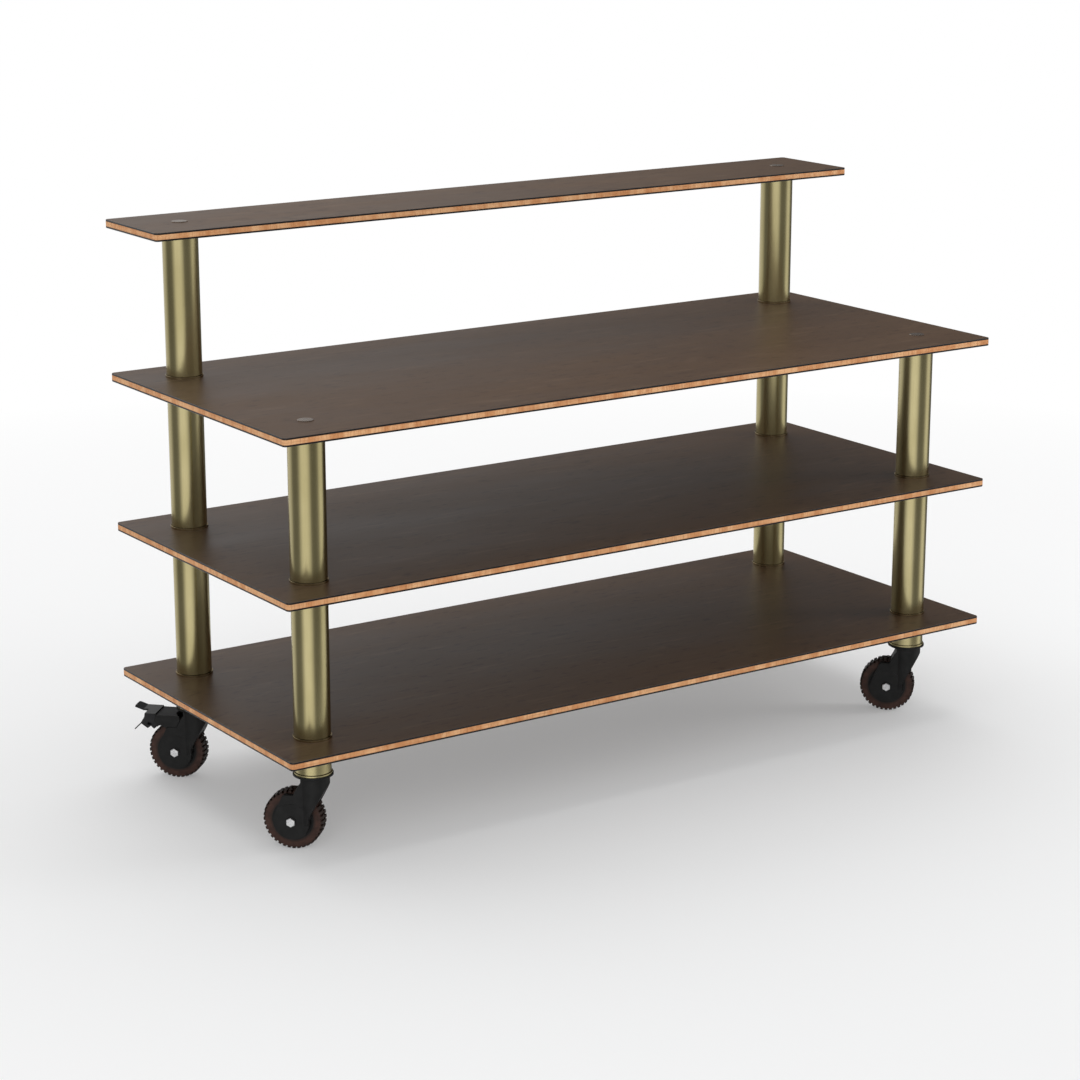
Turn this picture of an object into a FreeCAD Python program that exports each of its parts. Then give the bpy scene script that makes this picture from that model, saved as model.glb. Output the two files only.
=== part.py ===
import FreeCAD, Part
import math
import os
import Sketcher

# Modular buffet table on casters: three full shelves and a riser shelf of laminated plywood,
# stacked on brass tubes, standing on four swivel casters of which the back two have brakes.
# The row frame has its origin on the floor under the table's centre, +X along its length,
# +Y to the back and +Z up. A caster's own frame has its origin on the floor under its
# swivel axis, +X the way the wheel trails, +Y along the axle and +Z up.

SIZES = {
    # shelves
    "table_length": 1830,
    "table_depth": 760,
    "riser_depth": 240,
    "core_thickness": 12,
    "laminate_thickness": 3,
    "shelf_corner": 8,
    "laminate_round": 1,
    "rod_hole_gap": 0.5,
    # posts
    "post_inset_end": 115,
    "post_inset_side": 120,
    "tube_radius": 38.1,
    "tube_wall": 2,
    "tube_length": 306,
    "stub_length": 53,
    "fit_gap": 0.05,
    # foot flange and head plug of a post, and the rod and cap bolt that hold it
    "flange_radius": 40.2,
    "flange_height": 6,
    "flange_bevel": 0.4,
    "lip_height": 5,
    "lip_width": 1,
    "joint_groove_floor": 2.4,
    "joint_neck_radius": 37.4,
    "spigot_height": 10,
    "spigot_lead": 2,
    "boss_radius": 12,
    "boss_height": 12,
    "rod_radius": 6,
    "rod_grip": 20,
    "cap_radius": 17,
    "cap_rim": 0.9,
    "cap_shoulder": 1.1,
    "cap_height": 1.9,
    # wheel
    "wheel_radius": 63.2,
    "tyre_width": 34,
    "tyre_shoulder_drop": 0.9,
    "tyre_shoulder_width": 0.9,
    "tyre_crown_width": 29,
    "tyre_wall_height": 14.5,
    "lug_count": 37,
    "lug_groove_width": 4.6,
    "lug_groove_depth": 4.5,
    "tread_groove_width": 3,
    "tread_groove_depth": 2.4,
    "hub_radius": 44,
    "hub_tongue_height": 5,
    "hub_tongue_width": 12,
    "hub_rim_thickness": 5,
    "hub_dish_depth": 2.5,
    "hub_boss_radius": 15,
    "hub_end_gap": 0.3,
    "axle_radius": 5,
    # axle bolt and nut
    "hex_radius": 10.1,
    "hex_height": 5.7,
    "hex_bevel": 0.8,
    "axle_tail": 2,
    # fork
    "caster_turn": 135,
    "trail": 40.6,
    "fork_height": 93.3,
    "fork_width": 62,
    "fork_slot": 39,
    "fork_disc_radius": 38,
    "fork_disc_relief": 0.6,
    "fork_edge": 1.5,
    "column_radius": 34,
    "wheel_room": 3.3,
    "crown_seat": 28.5,
    "stem_head_radius": 10,
    "stem_head_height": 6,
    "stem_head_room": 2,
    "swivel_gap": 0.3,
    "bearing_radius": 42,
    "bearing_rim": 1,
    "bearing_rim_gap": 0.2,
    "bearing_height": 6.2,
    "bearing_bevel_width": 5.5,
    "bearing_bevel_height": 3.2,
    # brake
    "brake_wall": 4,
    "brake_gap": 0.4,
    "brake_pin_radius": 3,
    "brake_pin_cover": 1.6,
    "brake_pin_back": 33.4,
    "brake_pin_up": 71.3,
    "brake_ear_radius": 11.5,
    "housing_rise": 12.3,
    "housing_seam": 8.5,
    "pedal_rise": 15,
    "pedal_reach": 33,
    "pedal_arm": 4,
    "pedal_arm_offset": 21,
    "pedal_boss_radius": 7,
    "pedal_split": 1,
    "tab_reach": 64,
    "tab_rise": 21.9,
    "tab_round": 6,
    "release_reach": 57.5,
    "release_drop": 22.1,
    "release_thickness": 2.4,
    "shoe_gap": 3.8,
    "shoe_depth": 4.6,
    "shoe_width": 32,
    "shoe_carrier": 4,
    # how far a cut runs past the solid that it opens
    "overrun": 5,
}

# Where the cheek's outline turns, as shares of a length: of the fork's height above the axle
# for the heights, of the column's radius near the head and of the trail below it.
RAKE_TOP_SHARE = 0.845
HEAD_BACK_SHARE = 0.574
HEAD_FOOT_SHARE = 0.909
SADDLE_BACK_SHARE = 0.756
SADDLE_SHARE = 0.834
STEP_SHARE = 0.62
STEP_FRONT_SHARE = 0.887
STEP_BACK_SHARE = 1.355
SHOULDER_SHARE = 0.582
SHOULDER_BACK_SHARE = 1.453

# The pedal's end and underside, as shares of its reach and rise from the brake pin.
PEDAL_END_SHARES = [
    (1.0, 1.0),
    (1.048, 0.38),
    (1.309, -0.547),
    (0.827, -1.293),
    (0.585, -0.907),
    (0.39, -1.32),
]
PEDAL_TOE_SHARES = (0.075, -0.787)
PEDAL_WINDOW_SHARES = [(0.52, -0.75), (0.85, -0.75), (0.8, -0.3), (0.57, -0.3)]
TAB_ROOT_SHARE = 0.7

DISC_FRONT_ANGLE = 166
DISC_FOOT_ANGLE = 190
DISC_BACK_ANGLE = 22.8
SHOE_ANGLES = (50, 62)
HEX_SIDES = 6

# How near a place on an edge has to be to count as the place asked for.
NEAR_ENOUGH = 0.001

doc = FreeCAD.newDocument("buffet_table")
sheet = doc.addObject("Spreadsheet::Sheet", "sizes")
for row, (alias, value) in enumerate(SIZES.items(), start=1):
    sheet.set(f"A{row}", alias)
    sheet.set(f"B{row}", str(value))
    sheet.setAlias(f"B{row}", alias)
doc.recompute()

# Places that several pieces share, as expressions of the sheet's cells.
POST_X = "(sizes.table_length / 2 - sizes.post_inset_end)"
POST_Y = "(sizes.table_depth / 2 - sizes.post_inset_side)"
RISER_Y = "((sizes.table_depth - sizes.riser_depth) / 2)"
SHELF_THICKNESS = "(sizes.core_thickness + 2 * sizes.laminate_thickness)"
STOREY = f"(sizes.flange_height + sizes.tube_length + {SHELF_THICKNESS})"
TUBE_BORE = "(sizes.tube_radius - sizes.tube_wall)"
SPIGOT_RADIUS = f"({TUBE_BORE} - sizes.fit_gap)"
ROD_BORE = "(sizes.rod_radius + sizes.fit_gap)"
AXLE_BORE = "(sizes.axle_radius + sizes.fit_gap)"
AXLE_Z = "sizes.wheel_radius"
FORK_TOP = f"({AXLE_Z} + sizes.fork_height)"
BEARING_Z = f"({FORK_TOP} + sizes.swivel_gap)"
STUB_FLANGE_Z = f"({BEARING_Z} + sizes.bearing_height)"
STUB_Z = f"({STUB_FLANGE_Z} + sizes.flange_height)"
SHELF_Z = f"({STUB_Z} + sizes.stub_length)"
STEM_SEAT_Z = f"({FORK_TOP} - sizes.crown_seat)"
HALF_FORK = "(sizes.fork_width / 2)"
HALF_CHEEKS = f"({HALF_FORK} - sizes.fork_disc_relief)"
HALF_SLOT = "(sizes.fork_slot / 2)"
HALF_TYRE = "(sizes.tyre_width / 2)"
WHEEL_ROOM = "(sizes.wheel_radius + sizes.wheel_room)"
BRAKE_WALL_Y = f"({HALF_FORK} - sizes.brake_wall)"
FORK_SPAN = (f"-{HALF_FORK}", HALF_FORK)
CHEEK_SPAN = (f"-{HALF_CHEEKS}", HALF_CHEEKS)
SLOT_SPAN = (f"-{HALF_SLOT}", HALF_SLOT)
WALL_SPAN = (f"-{BRAKE_WALL_Y}", BRAKE_WALL_Y)
THROUGH = (f"-({HALF_FORK} + sizes.overrun)", f"({HALF_FORK} + sizes.overrun)")
PIN_X = "(sizes.trail + sizes.brake_pin_back)"
PIN_Z = f"({AXLE_Z} + sizes.brake_pin_up)"

CORNERS = {
    "front_left": (-1, -1),
    "front_right": (1, -1),
    "back_left": (-1, 1),
    "back_right": (1, 1),
}
BRAKED = ("back_left", "back_right")

parts = {}


def value(expression):
    """The number that an expression of the sheet's cells comes to."""
    return float(sheet.evalExpression(str(expression)))


def less(expression):
    return f"-({expression})"


def keep(node, piece):
    """Name a finished sub-part, which is then written to its own file."""
    piece.Label = node
    parts[node] = piece
    return piece


def new_body(name):
    body = doc.addObject("PartDesign::Body", name)
    body.AllowCompound = True
    return body


def origin_feature(body, role):
    return next(feature for feature in body.Origin.OriginFeatures if feature.Role == role)


def new_sketch(body, name, role, offset="0"):
    """A sketch on one of the body's own planes, lifted along the plane's normal."""
    sketch = body.newObject("Sketcher::SketchObject", name)
    sketch.AttachmentSupport = [(origin_feature(body, role), "")]
    sketch.MapMode = "FlatFace"
    sketch.setExpression("AttachmentOffset.Base.z", offset)
    return sketch


def pin_point(sketch, geometry, vertex, x, y):
    """Hold a point of the sketch at x, y from its origin."""
    for kind, place in (("DistanceX", x), ("DistanceY", y)):
        index = sketch.addConstraint(Sketcher.Constraint(kind, -1, 1, geometry, vertex, value(place)))
        sketch.setExpression(f"Constraints[{index}]", place)


def draw_outline(sketch, points):
    """A closed outline of straight edges through the points."""
    ends = [FreeCAD.Vector(value(x), value(y), 0) for x, y in points]
    first = sketch.GeometryCount
    count = len(points)
    for step in range(count):
        sketch.addGeometry(Part.LineSegment(ends[step], ends[(step + 1) % count]), False)
    for step in range(count):
        after = first + (step + 1) % count
        sketch.addConstraint(Sketcher.Constraint("Coincident", first + step, 2, after, 1))
    for step, (x, y) in enumerate(points):
        pin_point(sketch, first + step, 1, x, y)


def draw_circle(sketch, x, y, radius):
    centre = FreeCAD.Vector(value(x), value(y), 0)
    circle = sketch.addGeometry(Part.Circle(centre, FreeCAD.Vector(0, 0, 1), value(radius)), False)
    pin_point(sketch, circle, 3, x, y)
    index = sketch.addConstraint(Sketcher.Constraint("Radius", circle, value(radius)))
    sketch.setExpression(f"Constraints[{index}]", radius)


def hexagon(x, y, radius):
    """The corners of a hexagon with one corner straight up."""
    points = []
    for side in range(HEX_SIDES):
        angle = math.radians(90 + side * 360 / HEX_SIDES)
        across_share = round(math.cos(angle), 6)
        up_share = round(math.sin(angle), 6)
        points.append((f"{x} + ({across_share}) * {radius}", f"{y} + ({up_share}) * {radius}"))
    return points


def polar(radius, angle):
    """A point on a circle round the axle, in the caster's side view."""
    across_share = round(math.cos(math.radians(angle)), 6)
    up_share = round(math.sin(math.radians(angle)), 6)
    return (f"(sizes.trail + ({across_share}) * {radius})", f"({AXLE_Z} + ({up_share}) * {radius})")


def pad(body, sketch, name, length):
    feature = body.newObject("PartDesign::Pad", name)
    feature.Profile = sketch
    feature.setExpression("Length", length)
    sketch.Visibility = False
    return feature


def pocket(body, sketch, name, length):
    """A cut that runs against the sketch's normal."""
    feature = body.newObject("PartDesign::Pocket", name)
    feature.Profile = sketch
    feature.setExpression("Length", length)
    sketch.Visibility = False
    return feature


def add_side(body, name, outline, span):
    """Add a side-view outline, as thick as the span's two places along Y."""
    low, high = span
    sketch = new_sketch(body, f"{name}_sketch", "XZ_Plane", less(high))
    outline(sketch)
    return pad(body, sketch, name, f"{high} - ({low})")


def cut_side(body, name, outline, span):
    """Cut a side-view outline away between the span's two places along Y."""
    low, high = span
    sketch = new_sketch(body, f"{name}_sketch", "XZ_Plane", less(low))
    outline(sketch)
    return pocket(body, sketch, name, f"{high} - ({low})")


def add_plan(body, name, outline, low, high):
    """Add a plan outline, as high as from low to high along Z."""
    sketch = new_sketch(body, f"{name}_sketch", "XY_Plane", low)
    outline(sketch)
    return pad(body, sketch, name, f"{high} - ({low})")


def cut_plan(body, name, outline, low, high):
    """Cut a plan outline away from low to high along Z."""
    sketch = new_sketch(body, f"{name}_sketch", "XY_Plane", high)
    outline(sketch)
    return pocket(body, sketch, name, f"{high} - ({low})")


def straight(points):
    return lambda sketch: draw_outline(sketch, points)


def round_shape(x, y, radius):
    return lambda sketch: draw_circle(sketch, x, y, radius)


def turned(name, points, role="XZ_Plane"):
    """A turned piece: points of radius and height, revolved about the sketch's upright axis."""
    body = new_body(name)
    sketch = new_sketch(body, f"{name}_sketch", role)
    draw_outline(sketch, points)
    feature = body.newObject("PartDesign::Revolution", f"{name}_turned")
    feature.Profile = sketch
    feature.ReferenceAxis = (sketch, ["V_Axis"])
    feature.Angle = 360
    sketch.Visibility = False
    return body


def dress(body, kind, name, size, wanted):
    """A fillet or chamfer on the edges of the body's last feature that the test picks."""
    doc.recompute()
    base = body.Tip
    edges = [f"Edge{n}" for n, edge in enumerate(base.Shape.Edges, start=1) if wanted(edge)]
    feature = body.newObject(f"PartDesign::{kind}", name)
    feature.Base = (base, edges)
    feature.setExpression("Radius" if kind == "Fillet" else "Size", size)
    return feature


def placed(name, piece, x="0", y="0", z="0", turn=None):
    """A copy of a modelled piece at its place, turned about the upright if asked."""
    copy = doc.addObject("Part::Compound", name)
    copy.Links = [piece]
    if turn is not None:
        rotation = FreeCAD.Rotation(FreeCAD.Vector(0, 0, 1), value(turn))
        copy.Placement = FreeCAD.Placement(FreeCAD.Vector(), rotation)
        copy.setExpression("Placement.Rotation.Angle", turn)
    copy.setExpression("Placement.Base.x", x)
    copy.setExpression("Placement.Base.y", y)
    copy.setExpression("Placement.Base.z", z)
    return copy


def gathered(node, pieces):
    """Identical fasteners or fittings kept together as one node of separate solids."""
    group = doc.addObject("Part::Compound", node)
    group.Links = pieces
    return keep(node, group)


def is_upright(edge):
    upright = abs(edge.tangentAt(edge.FirstParameter).z) > 1 - NEAR_ENOUGH
    return upright and edge.Curve.TypeId == "Part::GeomLine"


def corner_x(side):
    return f"({side} * {POST_X})"


def corner_y(side):
    return f"({side} * {POST_Y})"


def shelf_base(storey):
    """Height of a shelf's underside."""
    return f"({SHELF_Z} + {storey} * {STOREY})"


def storey_foot(storey):
    """Height of the shelf face that a post of this storey stands on."""
    return f"({shelf_base(storey)} + {SHELF_THICKNESS})"


# Shelves: a plywood core between two laminate skins, bored for the rods that tie the posts.

def shelf_layer(name, depth, y, low, thickness, holes):
    """One layer of a shelf, with rounded corners and a hole on each post's axis."""
    body = new_body(name)
    sketch = new_sketch(body, f"{name}_sketch", "XY_Plane")
    half_length = "(sizes.table_length / 2)"
    half_depth = f"({depth} / 2)"
    draw_outline(sketch, [
        (less(half_length), less(half_depth)),
        (half_length, less(half_depth)),
        (half_length, half_depth),
        (less(half_length), half_depth),
    ])
    for x, hole_y in holes:
        draw_circle(sketch, x, f"{hole_y} - {y}", "(sizes.rod_radius + sizes.rod_hole_gap)")
    pad(body, sketch, f"{name}_board", thickness)
    dress(body, "Fillet", f"{name}_corners", "sizes.shelf_corner", is_upright)
    body.setExpression("Placement.Base.y", y)
    body.setExpression("Placement.Base.z", low)
    return body


def ease_rim(body, name, height):
    """Round the outer edge of a laminate skin on its open face."""
    level = value(height)
    rod_reach = value("sizes.rod_radius + sizes.rod_hole_gap") * 2

    def on_rim(edge):
        box = edge.BoundBox
        flat = abs(box.ZMin - level) < NEAR_ENOUGH and abs(box.ZMax - level) < NEAR_ENOUGH
        wide = max(box.XLength, box.YLength) > rod_reach - NEAR_ENOUGH
        hole = edge.Curve.TypeId == "Part::GeomCircle" and wide
        return flat and not (hole and edge.isClosed())

    dress(body, "Fillet", name, "sizes.laminate_round", on_rim)


def shelf(number, depth, y, sides):
    storey = number - 1
    holes = [(corner_x(x), corner_y(side)) for side in sides for x in (-1, 1)]
    low = shelf_base(storey)
    core_low = f"({low} + sizes.laminate_thickness)"
    top_low = f"({core_low} + sizes.core_thickness)"
    core = shelf_layer(f"shelf_{number}_core", depth, y, core_low, "sizes.core_thickness", holes)
    keep(f"shelf_{number}_core", core)
    lower = shelf_layer(f"shelf_{number}_lower_skin", depth, y, low, "sizes.laminate_thickness", holes)
    ease_rim(lower, f"shelf_{number}_lower_rim", "0")
    upper = shelf_layer(f"shelf_{number}_upper_skin", depth, y, top_low, "sizes.laminate_thickness", holes)
    ease_rim(upper, f"shelf_{number}_upper_rim", "sizes.laminate_thickness")
    gathered(f"shelf_{number}_laminates", [lower, upper])


for number in (1, 2, 3):
    shelf(number, "sizes.table_depth", "0", (-1, 1))
shelf(4, "sizes.riser_depth", RISER_Y, (1,))


# Posts: a brass tube on a foot flange whose spigot centres it, with a plug in its head.

def tube(name, length):
    body = new_body(name)
    sketch = new_sketch(body, f"{name}_ring", "XY_Plane")
    draw_circle(sketch, "0", "0", "sizes.tube_radius")
    draw_circle(sketch, "0", "0", TUBE_BORE)
    pad(body, sketch, f"{name}_wall", length)
    return body


foot_flange = turned("foot_flange", [
    (ROD_BORE, "0"),
    ("sizes.flange_radius", "0"),
    ("sizes.flange_radius", "sizes.lip_height - sizes.flange_bevel"),
    ("sizes.flange_radius - sizes.flange_bevel", "sizes.lip_height"),
    ("sizes.flange_radius - sizes.lip_width", "sizes.lip_height"),
    ("sizes.flange_radius - sizes.lip_width", "sizes.joint_groove_floor"),
    ("sizes.joint_neck_radius", "sizes.joint_groove_floor"),
    ("sizes.joint_neck_radius", "sizes.flange_height"),
    (SPIGOT_RADIUS, "sizes.flange_height"),
    (SPIGOT_RADIUS, "sizes.flange_height + sizes.spigot_height - sizes.spigot_lead"),
    (f"{SPIGOT_RADIUS} - sizes.spigot_lead", "sizes.flange_height + sizes.spigot_height"),
    ("sizes.boss_radius", "sizes.flange_height + sizes.spigot_height"),
    ("sizes.boss_radius", "sizes.flange_height + sizes.spigot_height + sizes.boss_height"),
    (ROD_BORE, "sizes.flange_height + sizes.spigot_height + sizes.boss_height"),
])

head_plug = turned("head_plug", [
    (ROD_BORE, "0"),
    (SPIGOT_RADIUS, "0"),
    (SPIGOT_RADIUS, "-(sizes.spigot_height - sizes.spigot_lead)"),
    (f"{SPIGOT_RADIUS} - sizes.spigot_lead", "-sizes.spigot_height"),
    ("sizes.boss_radius", "-sizes.spigot_height"),
    ("sizes.boss_radius", "-(sizes.spigot_height + sizes.boss_height)"),
    (ROD_BORE, "-(sizes.spigot_height + sizes.boss_height)"),
])

TIERS = {
    "lower": (0, list(CORNERS)),
    "upper": (1, list(CORNERS)),
    "riser": (2, ["back_left", "back_right"]),
}

for tier, (storey, corners) in TIERS.items():
    feet = []
    heads = []
    foot = storey_foot(storey)
    head = shelf_base(storey + 1)
    for corner in corners:
        x = corner_x(CORNERS[corner][0])
        y = corner_y(CORNERS[corner][1])
        post = tube(f"{corner}_{tier}_tube", "sizes.tube_length")
        post.setExpression("Placement.Base.x", x)
        post.setExpression("Placement.Base.y", y)
        post.setExpression("Placement.Base.z", f"{foot} + sizes.flange_height")
        keep(f"{corner}_{tier}_tube", post)
        feet.append(placed(f"{corner}_{tier}_foot", foot_flange, x, y, foot))
        heads.append(placed(f"{corner}_{tier}_head", head_plug, x, y, head))
    gathered(f"{tier}_foot_flanges", feet)
    gathered(f"{tier}_head_plugs", heads)


# Rods and cap bolts: threaded rod through each shelf between two posts, a capped bolt on top.

def tie_rod(name, x, y, storey):
    rod = doc.addObject("Part::Cylinder", name)
    rod.setExpression("Radius", "sizes.rod_radius")
    rod.setExpression("Height", f"{SHELF_THICKNESS} + 2 * sizes.rod_grip")
    rod.setExpression("Placement.Base.x", x)
    rod.setExpression("Placement.Base.y", y)
    rod.setExpression("Placement.Base.z", f"{shelf_base(storey)} - sizes.rod_grip")
    return rod


cap_bolt = turned("cap_bolt", [
    ("0", f"-({SHELF_THICKNESS} + sizes.rod_grip)"),
    ("sizes.rod_radius", f"-({SHELF_THICKNESS} + sizes.rod_grip)"),
    ("sizes.rod_radius", "0"),
    ("sizes.cap_radius", "0"),
    ("sizes.cap_radius", "sizes.cap_rim"),
    ("sizes.cap_radius - sizes.cap_shoulder", "sizes.cap_height - (sizes.cap_height - sizes.cap_rim) / 3"),
    ("sizes.cap_radius / 2", "sizes.cap_height - (sizes.cap_height - sizes.cap_rim) / 12"),
    ("0", "sizes.cap_height"),
])

for storey, corners in ((0, list(CORNERS)), (1, list(CORNERS)), (2, ["back_left", "back_right"])):
    rods = []
    for corner in corners:
        x = corner_x(CORNERS[corner][0])
        y = corner_y(CORNERS[corner][1])
        rods.append(tie_rod(f"{corner}_rod_{storey + 1}", x, y, storey))
    gathered(f"shelf_{storey + 1}_tie_rods", rods)

for node, storey, corners in (
    ("main_cap_bolts", 2, ["front_left", "front_right"]),
    ("riser_cap_bolts", 3, ["back_left", "back_right"]),
):
    bolts = []
    top = f"{shelf_base(storey)} + {SHELF_THICKNESS}"
    for corner in corners:
        x = corner_x(CORNERS[corner][0])
        y = corner_y(CORNERS[corner][1])
        bolts.append(placed(f"{corner}_cap_bolt", cap_bolt, x, y, top))
    gathered(node, bolts)


# Caster stubs: a short brass tube under each corner, on the same flange and plug as a post.

RIM_INSIDE = "(sizes.flange_radius + sizes.bearing_rim_gap)"
bearing_ring = turned("bearing_ring", [
    (ROD_BORE, "0"),
    ("sizes.bearing_radius - sizes.bearing_bevel_width", "0"),
    ("sizes.bearing_radius", "sizes.bearing_bevel_height"),
    ("sizes.bearing_radius", "sizes.bearing_height + sizes.bearing_rim"),
    (RIM_INSIDE, "sizes.bearing_height + sizes.bearing_rim"),
    (RIM_INSIDE, "sizes.bearing_height"),
    (ROD_BORE, "sizes.bearing_height"),
])

STEM_TOP_Z = f"({STUB_Z} + sizes.spigot_height + sizes.boss_height)"
STEM_HEAD_Z = f"({STEM_SEAT_Z} - sizes.swivel_gap)"

caster_stem = turned("caster_stem", [
    ("0", f"{STEM_HEAD_Z} - sizes.stem_head_height"),
    ("sizes.stem_head_radius - sizes.hex_bevel", f"{STEM_HEAD_Z} - sizes.stem_head_height"),
    ("sizes.stem_head_radius", f"{STEM_HEAD_Z} - sizes.stem_head_height + sizes.hex_bevel"),
    ("sizes.stem_head_radius", STEM_HEAD_Z),
    ("sizes.rod_radius", STEM_HEAD_Z),
    ("sizes.rod_radius", STEM_TOP_Z),
    ("0", STEM_TOP_Z),
])

stub_tubes = []
stub_flanges = []
stub_plugs = []
stems = []
rings = []
stub_wall = tube("stub_tube", "sizes.stub_length")
for corner, (side_x, side_y) in CORNERS.items():
    x = corner_x(side_x)
    y = corner_y(side_y)
    stub_tubes.append(placed(f"{corner}_stub_tube", stub_wall, x, y, STUB_Z))
    stub_flanges.append(placed(f"{corner}_stub_flange", foot_flange, x, y, STUB_FLANGE_Z))
    stub_plugs.append(placed(f"{corner}_stub_plug", head_plug, x, y, SHELF_Z))
    stems.append(placed(f"{corner}_stem", caster_stem, x, y))
    rings.append(placed(f"{corner}_ring", bearing_ring, x, y, BEARING_Z))
gathered("caster_stub_tubes", stub_tubes)
gathered("caster_stub_flanges", stub_flanges)
gathered("caster_stub_plugs", stub_plugs)
gathered("caster_stems", stems)
gathered("swivel_bearing_rings", rings)


# Fork: a moulded column on the swivel axis with two cheeks that reach back to the axle.

RAKE_TOP = (less("sizes.column_radius"), f"({AXLE_Z} + {RAKE_TOP_SHARE} * sizes.fork_height)")
RAKE_FOOT = polar("sizes.fork_disc_radius", DISC_FRONT_ANGLE)
DISC_FRONT = polar("sizes.fork_disc_radius", 180)
COLUMN_FOOT = polar("sizes.fork_disc_radius", DISC_FOOT_ANGLE)
HEAD_BACK = f"({HEAD_BACK_SHARE} * sizes.column_radius)"
HEAD_FOOT = (HEAD_BACK, f"({AXLE_Z} + {HEAD_FOOT_SHARE} * sizes.fork_height)")
SADDLE = (f"({SADDLE_BACK_SHARE} * sizes.column_radius)", f"({AXLE_Z} + {SADDLE_SHARE} * sizes.fork_height)")
STEP_FRONT = (f"({STEP_FRONT_SHARE} * sizes.trail)", f"({AXLE_Z} + {STEP_SHARE} * sizes.fork_height)")
STEP_BACK = (f"({STEP_BACK_SHARE} * sizes.trail)", f"({AXLE_Z} + {STEP_SHARE} * sizes.fork_height)")
SHOULDER = (f"({SHOULDER_BACK_SHARE} * sizes.trail)", f"({AXLE_Z} + {SHOULDER_SHARE} * sizes.fork_height)")
AHEAD = "(-sizes.column_radius - sizes.overrun)"

fork = new_body("fork")
add_plan(fork, "column", round_shape("0", "0", "sizes.column_radius"), COLUMN_FOOT[1], FORK_TOP)
cut_side(fork, "rake", straight([
    RAKE_TOP,
    RAKE_FOOT,
    DISC_FRONT,
    COLUMN_FOOT,
    (COLUMN_FOOT[0], f"{COLUMN_FOOT[1]} - sizes.overrun"),
    (AHEAD, f"{COLUMN_FOOT[1]} - sizes.overrun"),
    (AHEAD, RAKE_TOP[1]),
]), THROUGH)
cut_side(fork, "head_back", straight([
    (HEAD_BACK, f"({FORK_TOP} + sizes.overrun)"),
    HEAD_FOOT,
    SADDLE,
    STEP_FRONT,
    (f"({STEP_FRONT[0]} + sizes.overrun)", STEP_FRONT[1]),
    (f"({STEP_FRONT[0]} + sizes.overrun)", f"({FORK_TOP} + sizes.overrun)"),
]), THROUGH)
add_side(fork, "cheeks", straight([
    ("0", FORK_TOP),
    ("0", RAKE_FOOT[1]),
    RAKE_FOOT,
    ("sizes.trail", AXLE_Z),
    polar("sizes.fork_disc_radius", DISC_BACK_ANGLE),
    SHOULDER,
    STEP_BACK,
    STEP_FRONT,
    SADDLE,
    HEAD_FOOT,
    (HEAD_BACK, FORK_TOP),
]), CHEEK_SPAN)
axle_disc = round_shape("sizes.trail", AXLE_Z, "sizes.fork_disc_radius")
add_side(fork, "axle_discs", axle_disc, FORK_SPAN)


def on_cheek_top(edge):
    """Outline edges along the top of the two cheeks' outer faces, behind the column."""
    box = edge.BoundBox
    outer = abs(abs(box.YMin) - value(HALF_CHEEKS)) < NEAR_ENOUGH and box.YLength < NEAR_ENOUGH
    above = box.ZMin > value(SHOULDER[1]) - NEAR_ENOUGH
    below = box.ZMax < value(FORK_TOP) - NEAR_ENOUGH
    return outer and above and below and box.XMin > value(HEAD_BACK) - NEAR_ENOUGH


dress(fork, "Chamfer", "cheek_edges", "sizes.fork_edge", on_cheek_top)
wheel_room = round_shape("sizes.trail", AXLE_Z, WHEEL_ROOM)
cut_side(fork, "wheel_slot", wheel_room, SLOT_SPAN)
stem_room = round_shape("0", "0", "(sizes.stem_head_radius + sizes.stem_head_room)")
cut_plan(fork, "stem_seat", stem_room, AXLE_Z, STEM_SEAT_Z)
cut_plan(fork, "stem_bore", round_shape("0", "0", ROD_BORE), AXLE_Z, f"({FORK_TOP} + sizes.overrun)")
cut_side(fork, "axle_holes", round_shape("sizes.trail", AXLE_Z, AXLE_BORE), THROUGH)


# Wheel: a moulded hub with a tongue round its rim that the rubber tyre is cast over.

HUB_END = f"({HALF_SLOT} - sizes.hub_end_gap)"
HUB_FACE = f"({HALF_TYRE} - sizes.hub_dish_depth)"
TONGUE = "(sizes.hub_tongue_width / 2)"
TONGUE_RADIUS = "(sizes.hub_radius + sizes.hub_tongue_height)"


def mirrored_profile(points):
    """Close a profile given for its upper half by its mirror image below."""
    return points + [(x, less(y)) for x, y in reversed(points)]


wheel_hub = turned("wheel_hub", mirrored_profile([
    (AXLE_BORE, HUB_END),
    ("sizes.hub_boss_radius", HUB_END),
    ("sizes.hub_boss_radius", HUB_FACE),
    ("(sizes.hub_radius - sizes.hub_rim_thickness)", HUB_FACE),
    ("(sizes.hub_radius - sizes.hub_rim_thickness)", HALF_TYRE),
    ("sizes.hub_radius", HALF_TYRE),
    ("sizes.hub_radius", TONGUE),
    (TONGUE_RADIUS, TONGUE),
]), "XY_Plane")

tyre = turned("tyre", mirrored_profile([
    (TONGUE_RADIUS, TONGUE),
    ("sizes.hub_radius", TONGUE),
    ("sizes.hub_radius", HALF_TYRE),
    ("(sizes.hub_radius + sizes.tyre_wall_height)", HALF_TYRE),
    ("(sizes.wheel_radius - sizes.tyre_shoulder_drop)", f"({HALF_TYRE} - sizes.tyre_shoulder_width)"),
    ("sizes.wheel_radius", "(sizes.tyre_crown_width / 2)"),
]), "XY_Plane")


def ring_shape(inner, outer):
    def outline(sketch):
        draw_circle(sketch, "0", "0", outer)
        draw_circle(sketch, "0", "0", inner)
    return outline


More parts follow.
